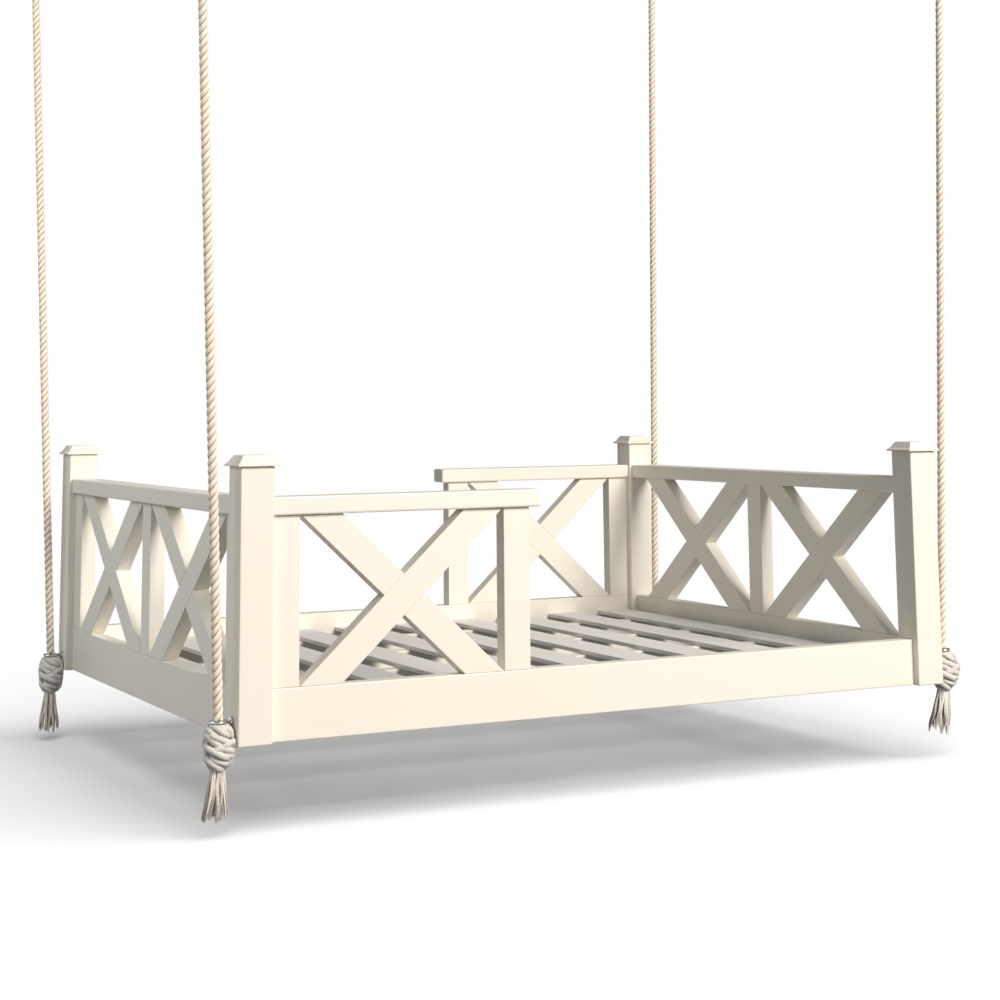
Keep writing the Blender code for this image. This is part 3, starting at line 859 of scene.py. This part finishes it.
    def _pressed(self, points: np.ndarray) -> np.ndarray:
        """Keeps points clear of the post and of the nut, where the knot is pressed flat.

        Args:
            points: The points.

        Returns:
            The points, moved where they must be.
        """
        eye = np.array(self.corner.eye)
        off = points - eye
        beside_nut = (off[:, 2] > -self.nut_reach) & (np.abs(off[:, 1]) < self.nut_reach)
        limit = np.where(beside_nut, self.nut_face, self.post_face)
        soft = 0.004
        near = off[:, 0] * self.corner.to_post
        over = near - (limit - soft)
        pressed = limit - soft * np.exp(-np.clip(over, 0.0, None) / soft)
        off[:, 0] = np.where(over > 0.0, pressed, near) * self.corner.to_post
        off[:, 2] = np.minimum(off[:, 2], -self.ring_clear)
        return eye + off


@dataclass
class Tassel:
    """The frayed ends of the strands below a knot, in thick wavy locks."""

    corner: Corner
    finish: bpy.types.Material
    lean: float  # how far its tip hangs to the viewer's left
    seed: int
    top: float = 0.102  # below the ring
    length: float = 0.140
    neck: float = 0.0135
    spread: float = 0.0290
    locks: int = 18
    inner_locks: int = 4  # the first ones, which hang near the middle
    inner_ring: float = 0.30  # how far out they hang, as a share of the tassel's spread
    golden: float = 0.381966  # turns from one lock to the next, so that they spread evenly
    lock: float = 0.0046  # radius of a lock
    fibres: int = 9
    fibre: float = 0.0011

    def build(self) -> bpy.types.Object:
        """Makes the tassel under its knot.

        Returns:
            The piece.
        """
        random = np.random.default_rng(self.seed)
        skin = Skin()
        for index in range(self.locks):
            ring = self.inner_ring if index < self.inner_locks else 1.0
            self._lock(skin, random, index * 360.0 * self.golden, ring)
        tassel = skin.make(self.corner.node("frayed_tassel"), self.finish)
        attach(tassel, "bed")
        return tassel

    def _lock(self, skin: Skin, random: np.random.Generator, degrees: float, ring: float) -> None:
        """Adds one lock: a thick strand that thins out and the fibres that leave it.

        Args:
            skin: The mesh it joins.
            random: The source of its waves.
            degrees: Where it hangs, round from the viewer's side.
            ring: How far out it hangs, as a share of the tassel's spread.
        """
        share = np.linspace(0.0, 1.0, 26)
        wave = random.uniform(0.9, 1.6)
        start = random.uniform(0.0, math.tau)
        sway = random.uniform(0.0022, 0.0042)
        tint = random.uniform(0.0, 0.7)
        long = self.length * random.uniform(0.80, 0.97)
        out = around(degrees)
        side = np.array([-out[1], out[0], 0.0])
        top = np.array(self.corner.eye) - [0.0, 0.0, self.top]
        flare = self.neck + (self.spread - self.neck) * share ** 1.2
        ripple = np.sin(start + share * wave * math.tau) * sway * np.sqrt(share)
        drop = np.array([0.0, 0.0, -1.0])
        spine = (top + share[:, None] * long * drop + out * (ring * flare)[:, None]
                 + side * ripple[:, None] + around(-90.0) * (self.lean * share ** 1.2)[:, None])
        thick = self.lock * random.uniform(0.85, 1.15)
        swell = 0.75 + 0.25 * np.sin(np.clip(share * 1.6, 0.0, 1.0) * math.pi / 2)
        radii = thick * swell * (1.0 - 0.80 * np.clip((share - 0.45) / 0.55, 0.0, 1.0) ** 1.4)
        skin.sweep(spine, radii, 12, np.tile(out, (len(share), 1)), 0.8, tint)
        for _ in range(self.fibres):
            angle = random.uniform(0.0, math.tau)
            off = random.uniform(0.55, 1.0)
            loose = radii * 0.85 + 0.0055 * np.clip(share - 0.35, 0.0, 1.0) ** 1.3
            curl = angle + 2.0 * share * random.uniform(-1.0, 1.0)
            path = (spine + out * (off * loose * np.cos(curl))[:, None]
                    + side * (off * loose * np.sin(curl))[:, None])
            path = path + drop * (share * random.uniform(-0.012, 0.003))[:, None]
            thin = self.fibre * random.uniform(0.7, 1.2) * (1.0 - 0.70 * share ** 3)
            shade = min(1.0, max(0.0, tint + random.normal(0.0, 0.2)))
            skin.sweep(path, thin, 6, tint=shade)


# ---------------- eye bolts

@dataclass
class EyeBolt:
    """A forged ring on a threaded shank, with a chamfered nut against the post."""

    corner: Corner
    finish: bpy.types.Material
    ring: float = 0.01875
    rod: float = 0.00425
    standoff: float = 0.036
    nut: float = 0.0105  # over the corners
    nut_height: float = 0.007
    shank: float = 0.055  # inside the post
    pitch: float = 0.0014
    gap: float = 0.0003

    def build(self) -> bpy.types.Object:
        """Makes the eye bolt in place of its plain solid.

        Returns:
            The piece.
        """
        eye = self.corner.eye
        skin = Skin()
        self._ring(skin, eye)
        inward = np.array([self.corner.to_post, 0.0, 0.0])
        root = self.rod * 0.86
        reach = np.arange(self.ring, self.standoff + self.shank, self.pitch / 2)
        radii = np.where(np.arange(len(reach)) % 2, self.rod, root)
        skin.sweep(np.array(eye) + reach[:, None] * inward, radii, 24)
        face = self.standoff - self.gap
        chamfer = 0.0009
        stations = np.array([face - self.nut_height, face - self.nut_height + chamfer,
                             face - chamfer, face])
        wide = np.array([0.90, 1.0, 1.0, 0.90]) * self.nut
        up = np.tile([0.0, 0.0, 1.0], (4, 1))
        skin.sweep(np.array(eye) + stations[:, None] * inward, wide, 6, up)
        piece = skin.make(self.corner.node("forged_eye"), self.finish)
        piece.data.set_sharp_from_angle(angle=math.radians(35))
        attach(piece, "bed")
        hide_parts(self.corner.node("eye_bolt"))
        return piece

    def _ring(self, skin: Skin, eye: Vector) -> None:
        """Adds the ring, which closes on itself at its neck.

        Args:
            skin: The mesh it joins.
            eye: The ring's middle.
        """
        start = 0.0 if self.corner.to_post > 0 else math.pi
        turns = start + np.linspace(0.0, math.tau, 73)
        out = np.stack([np.cos(turns), np.sin(turns), np.zeros(73)], axis=1)
        skin.sweep(np.array(eye) + out * self.ring, np.full(73, self.rod), 20, out)


# ---------------- lattices

class Lap(Enum):
    """Which of two halved braces runs on unbroken over the outer face."""

    RISING = 1
    FALLING = -1


@dataclass
class Lattice:
    """Two braces halved into one another, with a fine joint line where they cross."""

    node: str
    outward: Vector
    lap: Lap
    width: float = 0.0762
    ease: float = 0.0016
    line: float = 0.00018  # gap in the halved joint

    def __post_init__(self) -> None:
        """Reads the panel's size and place from its node."""
        low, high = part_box(self.node)
        self.middle = (low + high) / 2
        self.run = Vector((0.0, 0.0, 1.0)).cross(self.outward)
        size = high - low
        self.span = abs(size.dot(self.run))
        self.depth = abs(size.dot(self.outward))
        self.height = size.z
        spare = self.height ** 2 - self.width ** 2
        square = self.width ** 2 * self.span
        root = square ** 2 + spare * self.width ** 2 * (self.span ** 2 + self.height ** 2)
        self.foot = (math.sqrt(root) - square) / spare

    def direction(self, lean: int) -> Vector:
        """Direction of the brace that leans that way."""
        return (self.run * (lean * (self.span - self.foot))
                + Vector((0.0, 0.0, self.height))).normalized()

    def build(self, paints: Mapping[int, bpy.types.Material]) -> list[bpy.types.Object]:
        """Makes both braces in place of the fused pair.

        Args:
            paints: The paint of the brace that leans each way.

        Returns:
            The two braces.
        """
        place = Matrix((self.run, -self.outward, Vector((0.0, 0.0, 1.0)))).transposed().to_4x4()
        place = Matrix.Translation(self.middle) @ place
        braces = []
        for lean, word in ((1, "rising"), (-1, "falling")):
            brace = self._board(lean, self.width, 0.0)
            outer = 1 if self.lap.value == lean else -1
            notch = self._board(-lean, self.width + 2 * self.line,
                                outer * (self.depth / 2 - self.line / 2))
            cut = brace.modifiers.new("halving", "BOOLEAN")
            cut.object, cut.operation, cut.solver = notch, "DIFFERENCE", "EXACT"
            ease = brace.modifiers.new("eased", "BEVEL")
            ease.width, ease.segments = self.ease, 2
            ease.limit_method, ease.angle_limit = "ANGLE", math.radians(30)
            brace.matrix_world = place
            notch.matrix_world = place
            mesh = settled(brace)
            bpy.data.objects.remove(notch)
            made = placed(f"{self.node}_{word}_brace", mesh, paints[lean])
            made.data.shade_flat()
            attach(made, "bed")
            braces.append(made)
        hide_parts(self.node)
        return braces

    def _board(self, lean: int, width: float, offset: float) -> bpy.types.Object:
        """A slanting board with level ends, about the panel's middle.

        Args:
            lean: 1 to rise to the right seen from outside, -1 to fall.
            width: Its width square to its edges.
            offset: Its middle, inwards from the panel's.

        Returns:
            The board as a maker's object.
        """
        foot = self.foot * width / self.width
        lean_run = (self.span - self.foot) / self.height
        mesh = bpy.data.meshes.new("brace")
        bm = bmesh.new()
        bmesh.ops.create_cube(bm, size=1.0)
        bmesh.ops.scale(bm, vec=(foot, self.depth, self.height), verts=bm.verts)
        bmesh.ops.translate(bm, vec=(0.0, offset, 0.0), verts=bm.verts)
        bm.to_mesh(mesh)
        bm.free()
        mesh.transform(Matrix.Shear("XY", 4, (lean * lean_run, 0.0)))
        made = bpy.data.objects.new("brace", mesh)
        bpy.context.scene.collection.objects.link(made)
        made.hide_render = True
        return made


# ---------------- timber

@dataclass
class Timber:
    """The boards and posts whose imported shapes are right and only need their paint."""

    white: Mapping[str, bpy.types.Material]
    slats: bpy.types.Material

    def dress(self) -> int:
        """Paints every board by the way it runs.

        Returns:
            How many boards were painted.
        """
        painted = 0
        for name, node in frame["nodes"].items():
            if name.startswith(("lattice", "knot", "rope", "eye", "ceiling")):
                continue
            if name.startswith("slat"):
                paint = self.slats
            elif name.startswith(("post", "cap", "stile", "mullion")):
                paint = self.white["z"]
            elif name.startswith("bearer") or name.endswith(("front", "back")):
                paint = self.white["x"]
            else:
                paint = self.white["y"]
            for slot in node.material_slots:
                slot.material = paint
            painted += 1
        return painted


# ---------------- studio

class Keep(Enum):
    """Whether a light is kept to its listed pieces or off them."""

    TO = "INCLUDE"
    OFF = "EXCLUDE"


@dataclass(frozen=True)
class Studio:
    """A pale floor, soft light and the camera."""

    floor_drop: float = 0.018  # below the lowest tassel
    floor_radius: float = 9.0
    camera_place: Place = (-2.73686, -5.50734, -1.84491)
    camera_yaw: float = 27.0931
    camera_pitch: float = 8.5497
    camera_roll: float = -0.4883
    lens: float = 70.472
    shift_y: float = -0.390
    sky: float = 0.26
    ground: float = 0.05  # the world's strength from below
    left_end: float = -1.0  # pieces with their middle left of this are the left end

    def build(self, fibres: Sequence[bpy.types.Object]) -> None:
        """Sets up the whole studio.

        Args:
            fibres: The ropes, knots and tassels, which get a little more light.
        """
        self._camera()
        floor = self._floor()
        self._world()
        bed, left_end, far = (0.0, 0.0, -2.3), (-1.0, -0.1, -2.3), (0.0, 0.0, 0.0)
        self._lamp("AREA", "key", (2.6, -8.6, 2.5), bed, Keep.OFF, [floor], shape="RECTANGLE",
                   size=4.4, size_y=3.8, energy=1170.0, color=(1.0, 0.92, 0.85))
        self._lamp("AREA", "side", (-2.9, 0.1, -0.9), left_end, Keep.TO, self._left_end(),
                   shape="RECTANGLE", size=2.4, size_y=1.6, energy=24.0, color=(0.98, 1.0, 0.99))
        self._lamp("SUN", "floor_light", (0.25, -0.95, 0.90), far, Keep.TO, [floor],
                   energy=5.9, angle=math.radians(84.0))
        self._lamp("SUN", "fibre_light", (-0.45, -0.85, 0.20), far, Keep.TO, fibres,
                   energy=0.62, angle=math.radians(40.0))
        bpy.context.scene.view_settings.view_transform = "Standard"

    def _left_end(self) -> list[bpy.types.Object]:
        """Finds the pieces of the bed's left end.

        Returns:
            The pieces, which the side light is for.
        """
        bpy.context.view_layer.update()
        found = []
        for piece in bpy.context.scene.objects:
            if piece.type == "MESH":
                middle = sum((Vector(corner) for corner in piece.bound_box), Vector()) / 8.0
                if (piece.matrix_world @ middle).x < self.left_end:
                    found.append(piece)
        return found

    def _camera(self) -> None:
        """Places the camera where the photograph was taken from."""
        yaw, pitch, roll = map(math.radians, (self.camera_yaw, self.camera_pitch, self.camera_roll))
        turn = (Matrix.Rotation(-yaw, 4, "Z") @ Matrix.Rotation(math.pi / 2 + pitch, 4, "X")
                @ Matrix.Rotation(roll, 4, "Z"))
        lens = bpy.data.cameras.new("camera")
        lens.lens, lens.sensor_width, lens.shift_y = self.lens, 36.0, self.shift_y
        lens.clip_start, lens.clip_end = 0.1, 100.0
        camera = bpy.data.objects.new("camera", lens)
        camera.matrix_world = Matrix.Translation(self.camera_place) @ turn
        bpy.context.scene.collection.objects.link(camera)
        bpy.context.scene.camera = camera

    def _floor(self) -> bpy.types.Object:
        """Lays a round pale floor just below the tassels.

        Returns:
            The floor.
        """
        bm = bmesh.new()
        bmesh.ops.create_circle(bm, cap_ends=True, segments=96, radius=self.floor_radius)
        mesh = bpy.data.meshes.new("floor")
        bm.to_mesh(mesh)
        bm.free()
        graph = Graph("pale_floor")
        speckle = graph.noise(40.0, 3.0)
        tone = graph.mix(speckle, opaque((0.595, 0.595, 0.595)), opaque((0.605, 0.605, 0.605)))
        graph.surface(Base_Color=tone, Roughness=0.95, Specular_IOR_Level=0.0,
                      Emission_Color=opaque((1.0, 1.0, 1.0)), Emission_Strength=0.10)
        floor = placed("floor", mesh, graph.made)
        floor.location = (0.0, 0.0, CAD_BOX[0].z - self.floor_drop)
        floor.visible_diffuse = False
        return floor

    def _world(self) -> None:
        """Fills in with neutral light from above and white behind the bed."""
        graph = Graph("studio", world=True)
        ray = graph.node("ShaderNodeTexCoord", output="Generated")
        height = graph.node("ShaderNodeSeparateXYZ", {}, {0: ray}, "Z")
        dome = height.between(-0.5, 0.1) * (self.sky - self.ground) + self.ground
        seen = graph.node("ShaderNodeLightPath", output="Is Camera Ray")
        graph.surface(Color=opaque((1.0, 1.0, 1.0)),
                      Strength=graph.node("ShaderNodeMix", {}, {0: seen, 2: dome, 3: 1.0}))
        bpy.context.scene.world = graph.made

    def _lamp(self, kind: str, name: str, place: Place, target: Place, keep: Keep,
              pieces: Sequence[bpy.types.Object], **settings: object) -> None:
        """Adds a soft light.

        Args:
            kind: AREA, or SUN for a far one.
            name: Its name.
            place: Where it stands.
            target: What it faces.
            keep: Whether it lights only the pieces or all but them.
            pieces: The pieces.
            settings: Its size, energy and colour.
        """
        lamp = bpy.data.lights.new(name, kind)
        for key, value in settings.items():
            setattr(lamp, key, value)
        light = bpy.data.objects.new(name, lamp)
        aim = Vector(target) - Vector(place)
        light.location, light.rotation_euler = place, aim.to_track_quat("-Z", "Y").to_euler()
        bpy.context.scene.collection.objects.link(light)
        receivers = bpy.data.collections.new(f"{name}_receivers")
        for index, piece in enumerate(pieces):
            receivers.objects.link(piece)
            receivers.collection_objects[index].light_linking.link_state = keep.value
        light.light_linking.receiver_collection = receivers


# ---------------- the whole bed

@dataclass
class PorchBed:
    """Everything that dresses the bed, in the order that it is put together."""

    fibres: list[bpy.types.Object] = field(default_factory=list)

    def build(self) -> None:
        """Makes and dresses every part."""
        white = {
            "x": BrushedPaint("white_paint_along", (1.0, 0.0, 0.0)).material(),
            "y": BrushedPaint("white_paint_across", (0.0, 1.0, 0.0)).material(),
            "z": BrushedPaint("white_paint_upright", (0.0, 0.0, 1.0)).material(),
        }
        slats = BrushedPaint("slat_paint_across", (0.0, 1.0, 0.0), colour=(0.90, 0.89, 0.865),
                             roughness=0.5, grain=0.0002).material()
        LOG.info("painted %d boards", Timber(white, slats).dress())
        self._lattices()
        self._hangings()

    def _lattices(self) -> None:
        """Makes the six pairs of braces."""
        panels = {"front": (0.0, -1.0, 0.0), "back": (0.0, 1.0, 0.0)}
        for side, outward in (("left", (-1.0, 0.0, 0.0)), ("right", (1.0, 0.0, 0.0))):
            panels[f"front_{side}"] = panels[f"back_{side}"] = outward
        for panel, outward in panels.items():
            lap = Lap.RISING if panel.startswith("front") else Lap.FALLING
            lattice = Lattice(f"lattice_{panel}", Vector(outward), lap)
            paints = {
                lean: BrushedPaint(f"{lattice.node}_paint_{lean % 3}",
                                   tuple(lattice.direction(lean))).material()
                for lean in (1, -1)
            }
            for piece in lattice.build(paints):
                self._note(piece)

    def _hangings(self) -> None:
        """Makes the ropes, knots, tassels and steel."""
        steel = PlatedSteel().material()
        # Each cotton's second colour is its painted shade; the frayed cotton's very dark one paints
        # the shade in the gaps between the tassel's locks.
        rope = StrandFibre("laid_cotton", (0.900, 0.805, 0.670), (0.44, 0.34, 0.23), 8, -20.0,
                           0.00025, 0.85).material()
        knot = StrandFibre("worked_cotton", (0.680, 0.655, 0.610), (0.36, 0.33, 0.29), 9, 5.0,
                           0.00018, 0.55).material()
        fray = StrandFibre("frayed_cotton", (0.860, 0.820, 0.745), (0.26, 0.20, 0.15), 4, 22.0,
                           0.00020, 0.6).material()
        leans = {Corner.FRONT_LEFT: 0.006, Corner.FRONT_RIGHT: 0.018,
                 Corner.BACK_RIGHT: 0.008, Corner.BACK_LEFT: 0.001}
        for seed, corner in enumerate(Corner):
            self._note(CeilingEye(corner, steel).build())
            self._note(EyeBolt(corner, steel).build())
            pieces = HangingRope(corner, rope).build()
            pieces.append(StopperKnot(corner, knot, 7 + seed).build())
            pieces.append(Tassel(corner, fray, leans[corner], 11 + seed).build())
            self.fibres += pieces
            for piece in pieces:
                self._note(piece)

    def _note(self, piece: bpy.types.Object) -> None:
        """Reports a piece."""
        LOG.info("%s: %d faces", piece.name, len(piece.data.polygons))


def main() -> None:
    """Builds the bed and its studio."""
    logging.basicConfig(level=logging.INFO, format="%(message)s")
    bed = PorchBed()
    bed.build()
    Studio().build(bed.fibres)


if __name__ == "__main__":
    main()
